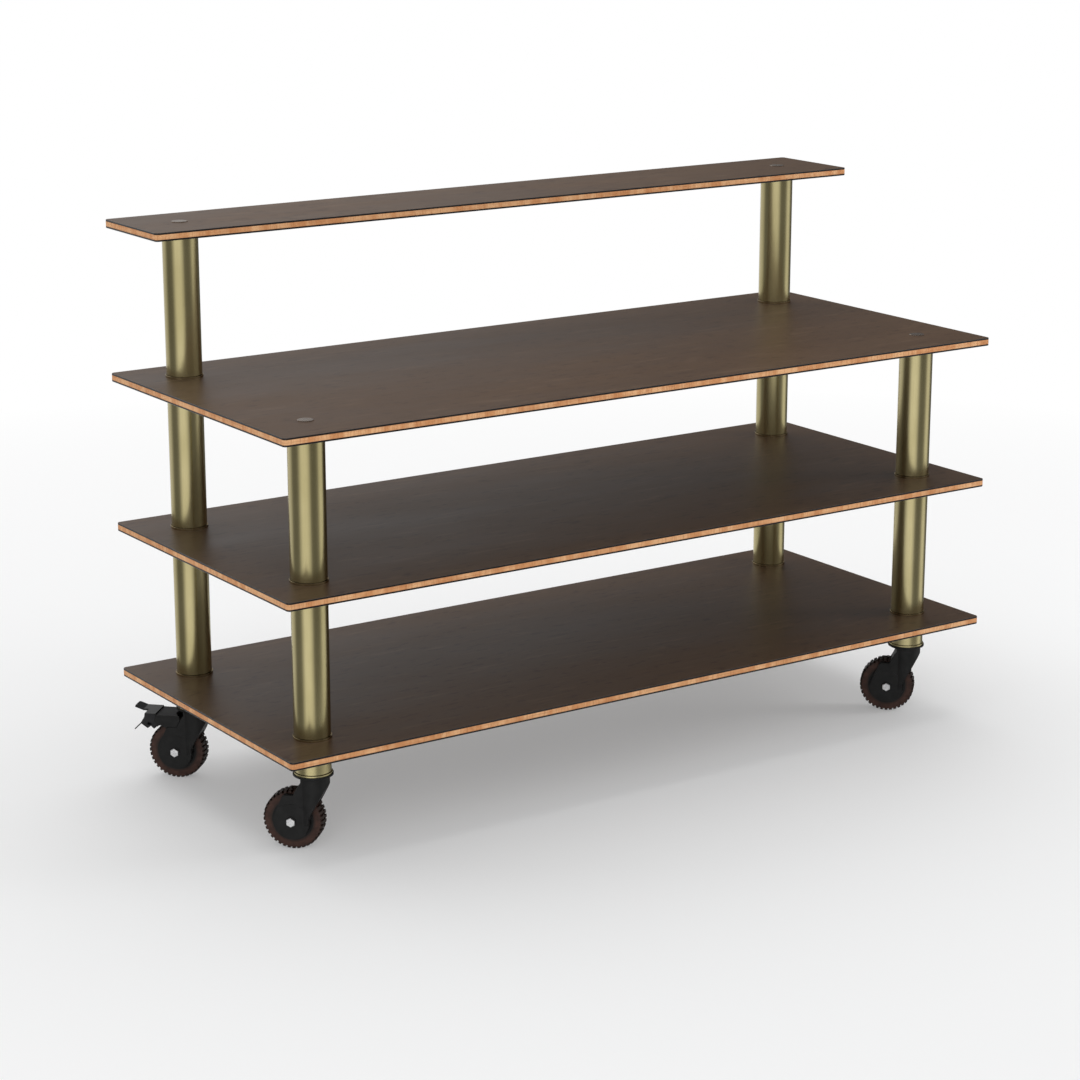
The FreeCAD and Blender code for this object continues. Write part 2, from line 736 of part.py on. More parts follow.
def lug_row(name, up, span):
    """Grooves across one side of the tread, evenly round the wheel."""
    bottom = f"({up} * (sizes.wheel_radius - sizes.lug_groove_depth))"
    top = f"({up} * (sizes.wheel_radius + sizes.overrun))"
    groove = cut_side(tyre, name, straight([
        ("-sizes.lug_groove_width / 2", bottom),
        ("sizes.lug_groove_width / 2", bottom),
        ("sizes.lug_groove_width / 2", top),
        ("-sizes.lug_groove_width / 2", top),
    ]), span)
    row = tyre.newObject("PartDesign::PolarPattern", f"{name}_row")
    row.Originals = [groove]
    row.Axis = (origin_feature(tyre, "Y_Axis"), [""])
    row.Angle = 360
    row.setExpression("Occurrences", "sizes.lug_count")
    tyre.Tip = row


TREAD_HALF = "(sizes.tread_groove_width / 2)"
TREAD_FLOOR = "(sizes.wheel_radius - sizes.tread_groove_depth)"
tread_ring = ring_shape(TREAD_FLOOR, "(sizes.wheel_radius + sizes.overrun)")
cut_side(tyre, "tread_groove", tread_ring, (less(TREAD_HALF), TREAD_HALF))
lug_row("near_lugs", "1", (TREAD_HALF, f"({HALF_TYRE} + sizes.overrun)"))
lug_row("far_lugs", "-1", (f"-({HALF_TYRE} + sizes.overrun)", less(TREAD_HALF)))


# Axle bolt: a hexagon-headed bolt through both cheeks, with its nut on the far side.

axle_bolt = new_body("axle_bolt")
NUT_END = f"({HALF_FORK} + sizes.hex_height)"
hex_outline = straight(hexagon("0", "0", "sizes.hex_radius"))
add_side(axle_bolt, "bolt_head", hex_outline, (HALF_FORK, NUT_END))


def on_hex_end(edge):
    box = edge.BoundBox
    return box.YLength < NEAR_ENOUGH and abs(abs(box.YMin) - value(NUT_END)) < NEAR_ENOUGH


dress(axle_bolt, "Chamfer", "bolt_head_bevel", "sizes.hex_bevel", on_hex_end)
shank_span = (f"-({NUT_END} + sizes.axle_tail)", HALF_FORK)
add_side(axle_bolt, "bolt_shank", round_shape("0", "0", "sizes.axle_radius"), shank_span)

axle_nut = new_body("axle_nut")
add_side(axle_nut, "nut_hex", hex_outline, (less(NUT_END), less(HALF_FORK)))
dress(axle_nut, "Chamfer", "nut_bevel", "sizes.hex_bevel", on_hex_end)
cut_side(axle_nut, "nut_bore", round_shape("0", "0", AXLE_BORE), (f"-({NUT_END} + sizes.overrun)", "0"))


# Brake: a moulded housing behind the column, hollowed round the swivel in front and closed
# behind by a rocking pedal that carries the shoe.

HOUSING_TOP = f"({PIN_Z} + sizes.housing_rise)"
SEAM_X = f"({PIN_X} + sizes.housing_seam)"
PEDAL_TOP = f"({PIN_Z} + sizes.pedal_rise)"
EAR_FOOT = (PIN_X, f"({PIN_Z} - sizes.brake_ear_radius)")

brake_housing = new_body("brake_housing")
add_side(brake_housing, "housing_walls", straight([
    (f"({SADDLE[0]} + sizes.brake_wall / 2)", HOUSING_TOP),
    (SEAM_X, HOUSING_TOP),
    (SEAM_X, PIN_Z),
    EAR_FOOT,
    (f"({PIN_X} - sizes.brake_wall)", EAR_FOOT[1]),
    SHOULDER,
    STEP_BACK,
    STEP_FRONT,
    SADDLE,
]), FORK_SPAN)
brake_ear = round_shape(PIN_X, PIN_Z, "sizes.brake_ear_radius")
add_side(brake_housing, "housing_ears", brake_ear, FORK_SPAN)
HOLLOW_TOP = f"({HOUSING_TOP} - sizes.brake_wall)"
HOLLOW_END = f"({SEAM_X} + sizes.pedal_reach)"
HOLLOW_FRONT = "(sizes.bearing_radius + sizes.brake_wall)"
ROOM_TOP = f"({AXLE_Z} + {WHEEL_ROOM})"
cut_side(brake_housing, "housing_hollow", straight([
    (HOLLOW_FRONT, HOLLOW_TOP),
    (HOLLOW_END, HOLLOW_TOP),
    (HOLLOW_END, AXLE_Z),
    (f"({STEP_FRONT[0]} + sizes.brake_wall)", AXLE_Z),
    (f"({STEP_FRONT[0]} + sizes.brake_wall)", STEP_FRONT[1]),
    (HOLLOW_FRONT, ROOM_TOP),
]), WALL_SPAN)
cut_side(brake_housing, "housing_wheel_room", wheel_room, SLOT_SPAN)
swivel_room = round_shape("0", "0", "sizes.bearing_radius")
RECESS_FLOOR = f"({ROOM_TOP} + sizes.brake_wall)"
cut_plan(brake_housing, "housing_recess", swivel_room, RECESS_FLOOR, f"({HOUSING_TOP} + sizes.overrun)")
pin_hole = round_shape(PIN_X, PIN_Z, "(sizes.brake_pin_radius + sizes.fit_gap)")
PIN_END = f"({HALF_FORK} - sizes.brake_pin_cover)"
cut_side(brake_housing, "housing_pin_holes", pin_hole, (THROUGH[0], PIN_END))

brake_pin = new_body("brake_pin")
pin_section = round_shape(PIN_X, PIN_Z, "sizes.brake_pin_radius")
add_side(brake_pin, "pin_shank", pin_section, (less(HALF_FORK), f"({PIN_END} - sizes.fit_gap)"))


def pedal_point(shares):
    across, up = shares
    return (f"({PIN_X} + ({across}) * sizes.pedal_reach)", f"({PIN_Z} + ({up}) * sizes.pedal_rise)")


def inset(point, across, up):
    return (f"({point[0]} + ({across}) * sizes.brake_wall)", f"({point[1]} + ({up}) * sizes.brake_wall)")


PEDAL_FRONT = f"({SEAM_X} + sizes.brake_gap)"
pedal_end = [pedal_point(shares) for shares in PEDAL_END_SHARES]
PEDAL_TOE = pedal_point(PEDAL_TOE_SHARES)
SPLIT_Y = "sizes.pedal_split"
TAB_ROOT = f"({PIN_X} + {TAB_ROOT_SHARE} * sizes.tab_reach)"
TAB_TIP = (f"({PIN_X} + sizes.tab_reach)", f"({PIN_Z} + sizes.tab_rise)")
RELEASE_TIP = (f"({PIN_X} + sizes.release_reach)", f"({PIN_Z} - sizes.release_drop)")

brake_pedal = new_body("brake_pedal")
add_side(brake_pedal, "pedal_block", straight(
    [(PEDAL_FRONT, PEDAL_TOP)] + pedal_end + [PEDAL_TOE, (PEDAL_FRONT, PIN_Z)]
), FORK_SPAN)
ear_room = round_shape(PIN_X, PIN_Z, "(sizes.brake_ear_radius + sizes.brake_gap)")
cut_side(brake_pedal, "pedal_ear_room", ear_room, THROUGH)
cut_side(brake_pedal, "pedal_hollow", straight([
    (PIN_X, f"({PEDAL_TOP} - sizes.brake_wall)"),
    inset(pedal_end[0], -0.9, -1),
    inset(pedal_end[1], -1, 0),
    inset(pedal_end[2], -1.1, 0.1),
    (pedal_end[3][0], AXLE_Z),
    (PIN_X, AXLE_Z),
]), WALL_SPAN)
window_points = [pedal_point(shares) for shares in PEDAL_WINDOW_SHARES]
cut_side(brake_pedal, "pedal_window", straight(window_points), ("0", THROUGH[1]))
add_side(brake_pedal, "press_tab", straight([
    (pedal_end[0][0], PEDAL_TOP),
    (pedal_end[0][0], f"({PEDAL_TOP} - sizes.brake_wall)"),
    (f"({TAB_ROOT} + sizes.brake_wall / 4)", f"({PEDAL_TOP} - sizes.brake_wall)"),
    (f"({TAB_TIP[0]} + sizes.brake_wall / 4)", f"({TAB_TIP[1]} - sizes.brake_wall)"),
    TAB_TIP,
    (TAB_ROOT, PEDAL_TOP),
]), (less(HALF_FORK), SPLIT_Y))


def on_press_corner(edge):
    """The press tab's outer corner, through its thickness."""
    box = edge.BoundBox
    end = box.XMin > value(TAB_TIP[0]) - NEAR_ENOUGH
    outer = box.YLength < NEAR_ENOUGH and abs(box.YMin + value(HALF_FORK)) < NEAR_ENOUGH
    return end and outer


dress(brake_pedal, "Fillet", "press_tab_corner", "sizes.tab_round", on_press_corner)
RELEASE_BACK = "(sizes.release_thickness * sqrt(1 / 2))"
add_side(brake_pedal, "release_tab", straight([
    pedal_end[2],
    RELEASE_TIP,
    (f"({RELEASE_TIP[0]} - {RELEASE_BACK})", f"({RELEASE_TIP[1]} - {RELEASE_BACK})"),
    (f"({pedal_end[2][0]} - 2 * {RELEASE_BACK})", pedal_end[2][1]),
]), (SPLIT_Y, HALF_FORK))

CARRIER_RADIUS = "(sizes.wheel_radius + sizes.shoe_gap + sizes.shoe_depth)"
CARRIER_BACK = f"({CARRIER_RADIUS} + sizes.shoe_carrier)"
ARM_IN = "sizes.pedal_arm_offset"
ARM_OUT = "(sizes.pedal_arm_offset + sizes.pedal_arm)"
arm_outline = straight([
    (PIN_X, f"({PIN_Z} + sizes.pedal_boss_radius)"),
    (PEDAL_FRONT, f"({PIN_Z} + sizes.pedal_boss_radius)"),
    inset(pedal_end[0], -0.5, -0.5),
    inset(pedal_end[1], -0.5, 0),
    inset(pedal_end[2], -0.5, 0.1),
    inset(pedal_end[3], 0, 0.5),
    polar(CARRIER_BACK, SHOE_ANGLES[0]),
    polar(CARRIER_RADIUS, SHOE_ANGLES[0]),
    polar(CARRIER_RADIUS, SHOE_ANGLES[1]),
    (f"({PIN_X} - sizes.pedal_boss_radius)", PIN_Z),
])
pin_boss = round_shape(PIN_X, PIN_Z, "sizes.pedal_boss_radius")
for name, span in (("near_arm", (ARM_IN, ARM_OUT)), ("far_arm", (less(ARM_OUT), less(ARM_IN)))):
    add_side(brake_pedal, name, arm_outline, span)
    add_side(brake_pedal, f"{name}_boss", pin_boss, span)
add_side(brake_pedal, "shoe_carrier", straight([
    polar(CARRIER_RADIUS, SHOE_ANGLES[0]),
    polar(CARRIER_RADIUS, SHOE_ANGLES[1]),
    polar(CARRIER_BACK, SHOE_ANGLES[1]),
    polar(CARRIER_BACK, SHOE_ANGLES[0]),
]), (less(ARM_OUT), ARM_OUT))
cut_side(brake_pedal, "pedal_pin_bores", pin_hole, THROUGH)

brake_shoe = new_body("brake_shoe")
SHOE_FACE = "(sizes.wheel_radius + sizes.shoe_gap)"
add_side(brake_shoe, "shoe_block", straight([
    polar("sizes.wheel_radius", SHOE_ANGLES[0]),
    polar("sizes.wheel_radius", SHOE_ANGLES[1]),
    polar(CARRIER_RADIUS, SHOE_ANGLES[1]),
    polar(CARRIER_RADIUS, SHOE_ANGLES[0]),
]), ("(-sizes.shoe_width / 2)", "(sizes.shoe_width / 2)"))
cut_side(brake_shoe, "shoe_face", round_shape("sizes.trail", AXLE_Z, SHOE_FACE), THROUGH)

doc.recompute()


# Each caster is placed at its corner and turned the way it stands.

def on_axle(name, piece):
    return placed(name, piece, "sizes.trail", "0", AXLE_Z)


wheel_hub_set = on_axle("wheel_hub_set", wheel_hub)
tyre_set = on_axle("tyre_set", tyre)
bolt_set = on_axle("bolt_set", axle_bolt)
nut_set = on_axle("nut_set", axle_nut)
axle_set = doc.addObject("Part::Compound", "axle_set")
axle_set.Links = [bolt_set, nut_set]

for corner, (side_x, side_y) in CORNERS.items():
    pieces = {"fork": fork, "axle_bolt": axle_set, "wheel_hub": wheel_hub_set, "tyre": tyre_set}
    if corner in BRAKED:
        pieces["brake_housing"] = brake_housing
        pieces["brake_pin"] = brake_pin
        pieces["brake_pedal"] = brake_pedal
        pieces["brake_shoe"] = brake_shoe
    for piece, source in pieces.items():
        node = f"{corner}_{piece}"
        keep(node, placed(node, source, corner_x(side_x), corner_y(side_y), "0", "sizes.caster_turn"))

doc.recompute()
for item in doc.Objects:
    if "Invalid" in item.State or "Error" in item.State:
        raise RuntimeError(f"{item.Label} failed: {item.State}")
for node, piece in parts.items():
    if piece.Shape.isNull() or not piece.Shape.isValid():
        raise RuntimeError(f"{node} has no valid shape")

os.makedirs("parts", exist_ok=True)
for node, piece in parts.items():
    piece.Shape.exportStep(f"parts/{node}.step")
print(len(parts), "sub-parts written")
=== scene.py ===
"""Looks of the buffet table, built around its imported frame: shelves, brass posts, casters and studio."""

import math

import bpy
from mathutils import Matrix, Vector


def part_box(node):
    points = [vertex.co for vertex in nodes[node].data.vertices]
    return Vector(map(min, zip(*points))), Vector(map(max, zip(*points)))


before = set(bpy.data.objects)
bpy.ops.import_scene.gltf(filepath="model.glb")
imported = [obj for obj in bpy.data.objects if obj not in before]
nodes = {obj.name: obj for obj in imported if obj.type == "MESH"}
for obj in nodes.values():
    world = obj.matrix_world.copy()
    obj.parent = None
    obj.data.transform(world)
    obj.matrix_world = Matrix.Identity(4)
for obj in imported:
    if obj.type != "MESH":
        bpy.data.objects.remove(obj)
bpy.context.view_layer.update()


# Shelf cores. Each shelf is a 12 mm plywood board, cut square and lacquered clear on its bare edge.
# The edge shows the plies, upright end grain in patches, and a dark glue line under each skin.
shelves = (1, 2, 3, 4)
shelf_pitch = 0.330
shelf_bottom = 0.222
core_low, core_high = 0.003, 0.015
glue_line = 0.0013
core_light = (0.81, 0.455, 0.225, 1)
core_mid = (0.64, 0.29, 0.118, 1)
core_dark = (0.40, 0.14, 0.05, 1)
glue_brown = (0.06, 0.03, 0.02, 1)
patch_repeats = (38, 38, 12)
end_grain_repeats = (420, 420, 45)
ply_repeats = (9, 9, 420)
lacquer_roughness = (0.46, 0.62)
core_relief = 0.00015


def join(finish, source, socket):
    """Feeds a socket from another node's output, or sets it to a plain value."""
    if isinstance(source, bpy.types.NodeSocket):
        finish.node_tree.links.new(source, socket)
    else:
        socket.default_value = source


def add_node(finish, kind, inputs=None, **settings):
    """A node of that kind, with its settings, and its inputs set or fed from other nodes' outputs."""
    made = finish.node_tree.nodes.new(kind)
    for key, value in settings.items():
        setattr(made, key, value)
    for socket, source in (inputs or {}).items():
        join(finish, source, made.inputs[socket])
    return made


def start_finish(name, **surface):
    """A new material, its shader with plain numbers set on it, and its object coordinates."""
    finish = bpy.data.materials.new(name)
    finish.use_nodes = True
    shader = finish.node_tree.nodes["Principled BSDF"]
    for socket, value in surface.items():
        shader.inputs[socket.replace("_", " ")].default_value = value
    place = add_node(finish, "ShaderNodeTexCoord").outputs["Object"]
    return finish, shader, place


def noise(finish, place, repeats, detail=3.0, roughness=0.55):
    """A noise pattern's grey value, between 0 and 1, with so many repeats in a metre."""
    made = add_node(finish, "ShaderNodeTexNoise", {
        "Vector": place, "Scale": repeats, "Detail": detail, "Roughness": roughness})
    return made.outputs["Fac"]


def grained(finish, place, repeats, detail=3.0, roughness=0.55, start=(0, 0, 0)):
    """Noise that runs one way, with its own repeats in a metre along x, y and z."""
    mapping = {"Vector": place, "Scale": repeats, "Location": start}
    run = add_node(finish, "ShaderNodeMapping", mapping).outputs["Vector"]
    return noise(finish, run, 1.0, detail, roughness)


def reckon(finish, operation, *values):
    """One sum on numbers or outputs."""
    made = add_node(finish, "ShaderNodeMath", operation=operation)
    for socket, value in zip(made.inputs, values):
        join(finish, value, socket)
    return made.outputs["Value"]


def spread(finish, value, low, high, bottom=0.0, top=1.0):
    """The value from low to high laid out from bottom to top, and held there beyond."""
    made = add_node(finish, "ShaderNodeMapRange", {
        "Value": value, "From Min": low, "From Max": high, "To Min": bottom, "To Max": top})
    return made.outputs["Result"]


def blended(finish, share, first, second, way="MIX"):
    """Two colours mixed by a share."""
    made = add_node(finish, "ShaderNodeMix", data_type="RGBA", blend_type=way)
    for name, value in (("Factor_Float", share), ("A_Color", first), ("B_Color", second)):
        join(finish, value, next(s for s in made.inputs if s.identifier == name))
    return next(s for s in made.outputs if s.identifier == "Result_Color")


def laid_over(finish, tone, colour, pattern, low, high, most=1.0):
    """A tone with a colour laid over it, none where the pattern is low and the most where it is high."""
    return blended(finish, spread(finish, pattern, low, high, 0.0, most), tone, colour)


def parts_of(finish, place):
    """The x, y and z of a place."""
    made = add_node(finish, "ShaderNodeSeparateXYZ", {"Vector": place})
    return made.outputs["X"], made.outputs["Y"], made.outputs["Z"]


def feed(finish, shader, colour, roughness, relief, depth, strength):
    """Joins a colour, a roughness and a height pattern to the shader."""
    bump = add_node(finish, "ShaderNodeBump", {"Height": relief, "Distance": depth, "Strength": strength})
    join(finish, colour, shader.inputs["Base Color"])
    join(finish, roughness, shader.inputs["Roughness"])
    join(finish, bump.outputs["Normal"], shader.inputs["Normal"])


def paint(finish, *names):
    """Gives CAD nodes this finish."""
    for name in names:
        for slot in nodes[name].material_slots:
            slot.material = finish


plywood, shader, place = start_finish("core_plywood", Specular_IOR_Level=0.25)
patches = grained(plywood, place, patch_repeats, detail=2.0)
end_grain = grained(plywood, place, end_grain_repeats)
plies = grained(plywood, place, ply_repeats, detail=2.0)
tone = laid_over(plywood, core_mid, core_light, patches, low=0.38, high=0.62)
tone = laid_over(plywood, tone, core_dark, end_grain, low=0.5, high=0.72, most=0.55)
tone = laid_over(plywood, tone, core_dark, plies, low=0.5, high=0.7, most=0.35)

above_first = reckon(plywood, "SUBTRACT", parts_of(plywood, place)[2], shelf_bottom)
in_shelf = reckon(plywood, "WRAP", above_first, shelf_pitch, 0.0)
from_middle = reckon(plywood, "ABSOLUTE", reckon(plywood, "SUBTRACT", in_shelf, (core_low + core_high) / 2))
half_core = (core_high - core_low) / 2
glue_start, glue_full = half_core - glue_line, half_core - glue_line / 2
tone = laid_over(plywood, tone, glue_brown, from_middle, low=glue_start, high=glue_full)
lacquer = spread(plywood, end_grain, 0.3, 0.8, *lacquer_roughness)
feed(plywood, shader, tone, lacquer, end_grain, core_relief, strength=0.4)
paint(plywood, *[f"shelf_{n}_core" for n in shelves])


# Shelf skins. A 3 mm dark brown wood-grain laminate is glued to each face of every shelf, and its eased
# edge shows the black body of the sheet, with a painted grey highlight where it rounds over to the face.
# The grain runs along the shelf and the face has a soft sheen.
skin_light = (0.125, 0.076, 0.044, 1)
skin_pale = (0.098, 0.056, 0.030, 1)
skin_mid = (0.074, 0.040, 0.020, 1)
skin_dark = (0.034, 0.013, 0.006, 1)
skin_edge = (0.005, 0.005, 0.005, 1)
skin_bevel_highlight = (0.062, 0.064, 0.068, 1)
cloud_repeats = (1.8, 7, 7)
fleck_repeats = (26, 80, 80)
streak_repeats = (9, 55, 55)
streak_start = (3, 7, 0)
grain_repeats = (7, 300, 300)
pore_repeats = (60, 1300, 1300)
face_roughness = (0.36, 0.45)
edge_roughness = (0.22, 0.22, 0.22, 1)
skin_relief = 0.0001

skin, shader, place = start_finish("skin_laminate", Specular_IOR_Level=0.4)
clouds = grained(skin, place, cloud_repeats)
flecks = grained(skin, place, fleck_repeats, detail=2.0)
streaks = grained(skin, place, streak_repeats, start=streak_start)
grain = grained(skin, place, grain_repeats, detail=4.0, roughness=0.6)
pores = grained(skin, place, pore_repeats, detail=2.0)
tone = laid_over(skin, skin_mid, skin_pale, clouds, low=0.32, high=0.68)
tone = laid_over(skin, tone, skin_dark, grain, low=0.45, high=0.75, most=0.35)
tone = laid_over(skin, tone, skin_light, streaks, low=0.58, high=0.70, most=0.6)
tone = laid_over(skin, tone, skin_dark, flecks, low=0.59, high=0.68, most=0.6)
tone = laid_over(skin, tone, skin_dark, pores, low=0.6, high=0.75, most=0.35)

normal = add_node(skin, "ShaderNodeNewGeometry").outputs["True Normal"]
levelness = reckon(skin, "ABSOLUTE", parts_of(skin, normal)[2])
flat_face = spread(skin, levelness, 0.80, 0.90)
# The rounded lip between edge and face gets a painted bluish grey highlight, standing in for the light it
# catches.
edge = laid_over(skin, skin_edge, skin_bevel_highlight, levelness, low=0.2, high=0.5)
tone = blended(skin, flat_face, edge, tone)
sheen = blended(skin, flat_face, edge_roughness, spread(skin, clouds, 0.3, 0.7, *face_roughness))
feed(skin, shader, tone, sheen, pores, skin_relief, strength=0.12)
paint(skin, *[f"shelf_{n}_laminates" for n in shelves])


# Posts. Drawn brass tube, 3 in across, brushed along its length and satin lacquered, stands between the
# shelves on turned brass feet, and a short stub of the same tube stands over each caster. Feet, flanges
# and plugs have faint rings from the lathe, and the feet are painted darker than the rest, a painted
# reflection of the dark shelf they stand on.
corners = ("front_left", "front_right", "back_left", "back_right")
back_corners = ("back_left", "back_right")
brass_light = (0.60, 0.525, 0.285, 1)
brass_mid = (0.50, 0.435, 0.22, 1)
brass_dull = (0.36, 0.29, 0.12, 1)
foot_reflection_light = (0.48, 0.38, 0.21, 1)
foot_reflection_mid = (0.38, 0.295, 0.165, 1)
foot_reflection_dull = (0.20, 0.145, 0.075, 1)
brushing_repeats = (1500, 1500, 18)
tarnish_repeats = (9, 9, 4)
speck_repeats = 420.0
turned_cloud_repeats = 60.0
tool_mark_repeats = (40, 40, 2600)
tube_roughness = (0.21, 0.27)
turned_roughness = (0.18, 0.28)
metal_relief = 0.00002

brass, shader, place = start_finish("post_brass", Metallic=1.0)
brushing = grained(brass, place, brushing_repeats)
tarnish = grained(brass, place, tarnish_repeats)
specks = noise(brass, place, speck_repeats, detail=2.0)
tone = laid_over(brass, brass_mid, brass_light, tarnish, low=0.35, high=0.65)
tone = laid_over(brass, tone, brass_dull, brushing, low=0.5, high=0.8, most=0.2)
tone = laid_over(brass, tone, brass_dull, specks, low=0.68, high=0.8, most=0.4)
satin = spread(brass, brushing, 0.3, 0.7, *tube_roughness)
feed(brass, shader, tone, satin, brushing, metal_relief, strength=0.1)
tubes = [f"{c}_{tier}_tube" for tier in ("lower", "upper") for c in corners]
riser_tubes = [f"{c}_riser_tube" for c in back_corners]
paint(brass, *tubes, *riser_tubes, "caster_stub_tubes")


def turned_brass(name, dull, mid, light):
    """Brass off the lathe, with faint rings from the tool."""
    finish, shader, place = start_finish(name, Metallic=1.0)
    cloud = noise(finish, place, turned_cloud_repeats)
    tool_marks = grained(finish, place, tool_mark_repeats, detail=2.0)
    tone = laid_over(finish, mid, light, cloud, low=0.35, high=0.65)
    tone = laid_over(finish, tone, dull, tool_marks, low=0.55, high=0.8, most=0.3)
    roughness = spread(finish, cloud, 0.3, 0.7, *turned_roughness)
    feed(finish, shader, tone, roughness, tool_marks, metal_relief, strength=0.3)
    return finish


turned = turned_brass("turned_brass", brass_dull, brass_mid, brass_light)
paint(turned, "caster_stub_flanges", "caster_stub_plugs")
paint(turned, "lower_head_plugs", "upper_head_plugs", "riser_head_plugs")
# The feet's darker brass is a painted reflection of the dark shelf around them.
foot_reflection_brass = turned_brass("brass_painted_shelf_reflection", foot_reflection_dull, foot_reflection_mid, foot_reflection_light)
paint(foot_reflection_brass, "lower_foot_flanges", "upper_foot_flanges", "riser_foot_flanges")


# Cap bolts. Flat round caps in a dark bronze lacquer close the post ends, two on the main top and two
# on the riser shelf, each drawn down on the post's plug.
cap_bronze = (0.225, 0.175, 0.145, 1)
cap_worn = (0.34, 0.275, 0.225, 1)
cap_cloud_repeats = 90.0
cap_scuff_repeats = 800.0
cap_roughness = (0.20, 0.32)

bronze, shader, place = start_finish("cap_bronze", Metallic=0.85)
cloud = noise(bronze, place, cap_cloud_repeats)
scuffs = noise(bronze, place, cap_scuff_repeats)
tone = laid_over(bronze, cap_bronze, cap_worn, cloud, low=0.35, high=0.65)
satin = spread(bronze, scuffs, 0.3, 0.7, *cap_roughness)
feed(bronze, shader, tone, satin, scuffs, metal_relief, strength=0.3)
paint(bronze, "main_cap_bolts", "riser_cap_bolts")


# Rods, stems, pins and axle bolts. All are zinc-plated steel, bright and slightly grained. The rods tie
# the posts together through the shelves, and the forks, wheels and pedals turn on the rest.
steel_light = (0.80, 0.80, 0.80, 1)
steel_mid = (0.66, 0.66, 0.67, 1)
steel_dull = (0.26, 0.26, 0.27, 1)
steel_cloud_repeats = 140.0
steel_scuff_repeats = 1300.0
steel_roughness = (0.22, 0.40)

steel, shader, place = start_finish("plated_steel", Metallic=1.0)
cloud = noise(steel, place, steel_cloud_repeats)
scuffs = noise(steel, place, steel_scuff_repeats)
tone = laid_over(steel, steel_mid, steel_light, cloud, low=0.35, high=0.65)
tone = laid_over(steel, tone, steel_dull, scuffs, low=0.62, high=0.8, most=0.5)
plating = spread(steel, scuffs, 0.3, 0.7, *steel_roughness)
feed(steel, shader, tone, plating, scuffs, metal_relief, strength=0.3)
paint(steel, "shelf_1_tie_rods", "shelf_2_tie_rods", "shelf_3_tie_rods", "caster_stems")
paint(steel, *[f"{c}_axle_bolt" for c in corners], *[f"{c}_brake_pin" for c in back_corners])


# Caster mouldings. The bearing ring, fork, wheel hub and brake housing are black nylon with the fine
# sparked grain of a mould, rubbed a little grey on their outer edges. Only the back two casters have
# brakes, and their foot pedals are smoother.
nylon_black = (0.0065, 0.0065, 0.0063, 1)
nylon_grey = (0.011, 0.011, 0.0107, 1)
nylon_rubbed = (0.040, 0.040, 0.041, 1)
pedal_black = (0.006, 0.006, 0.007, 1)
pedal_grey = (0.013, 0.013, 0.014, 1)
nylon_cloud_repeats = 55.0
nylon_spark_repeats = 1900.0
nylon_roughness = (0.48, 0.62)
pedal_roughness = (0.28, 0.40)
nylon_relief = 0.00006
worn_radius = 0.0007
worn_share = 0.6


def moulded(name, black, grey, rough_range):
    """Moulded nylon: sparked grain, faint clouds, and edges rubbed paler."""
    finish, shader, place = start_finish(name, Specular_IOR_Level=0.28)
    cloud = noise(finish, place, nylon_cloud_repeats)
    sparks = noise(finish, place, nylon_spark_repeats, detail=2.0)
    rounded = add_node(finish, "ShaderNodeBevel", {"Radius": worn_radius}, samples=4).outputs["Normal"]
    true = add_node(finish, "ShaderNodeNewGeometry").outputs["Normal"]
    agree = add_node(finish, "ShaderNodeVectorMath", {0: rounded, 1: true}, operation="DOT_PRODUCT")
    at_edge = spread(finish, agree.outputs["Value"], 0.97, 0.80)
    worn = reckon(finish, "MULTIPLY", at_edge, spread(finish, cloud, 0.35, 0.6))
    tone = laid_over(finish, black, grey, cloud, low=0.35, high=0.65)
    tone = blended(finish, reckon(finish, "MULTIPLY", worn, worn_share), tone, nylon_rubbed)
    roughness = spread(finish, sparks, 0.3, 0.7, *rough_range)
    feed(finish, shader, tone, roughness, sparks, nylon_relief, strength=0.5)
    return finish


nylon = moulded("black_nylon", nylon_black, nylon_grey, nylon_roughness)
paint(nylon, "swivel_bearing_rings", *[f"{c}_fork" for c in corners], *[f"{c}_wheel_hub" for c in corners])
paint(nylon, *[f"{c}_brake_housing" for c in back_corners])
pedal_nylon = moulded("pedal_nylon", pedal_black, pedal_grey, pedal_roughness)
paint(pedal_nylon, *[f"{c}_brake_pedal" for c in back_corners])


# Tyres and brake shoes. Soft reddish brown rubber is moulded on each hub with two staggered rows of
# lugs. Shade is painted on it, darkest on the lugs and against the hub where the bulging wall turns from
# the light, and the shoes are plain black rubber.
rubber_brown = (0.066, 0.029, 0.020, 1)
rubber_dark = (0.036, 0.016, 0.011, 1)
rubber_dust = (0.090, 0.048, 0.036, 1)
tyre_painted_shade = (0.020, 0.012, 0.009, 1)
shoe_black = (0.012, 0.012, 0.012, 1)
shoe_grey = (0.05, 0.05, 0.05, 1)
wall_inside, wall_outside = 0.0460, 0.0575
wall_fade = 0.0030
rubber_cloud_repeats = 70.0
rubber_spark_repeats = 1500.0
shoe_spark_repeats = 900.0
rubber_roughness = (0.42, 0.6)
shoe_roughness = (0.6, 0.8)
rubber_relief = 0.0001


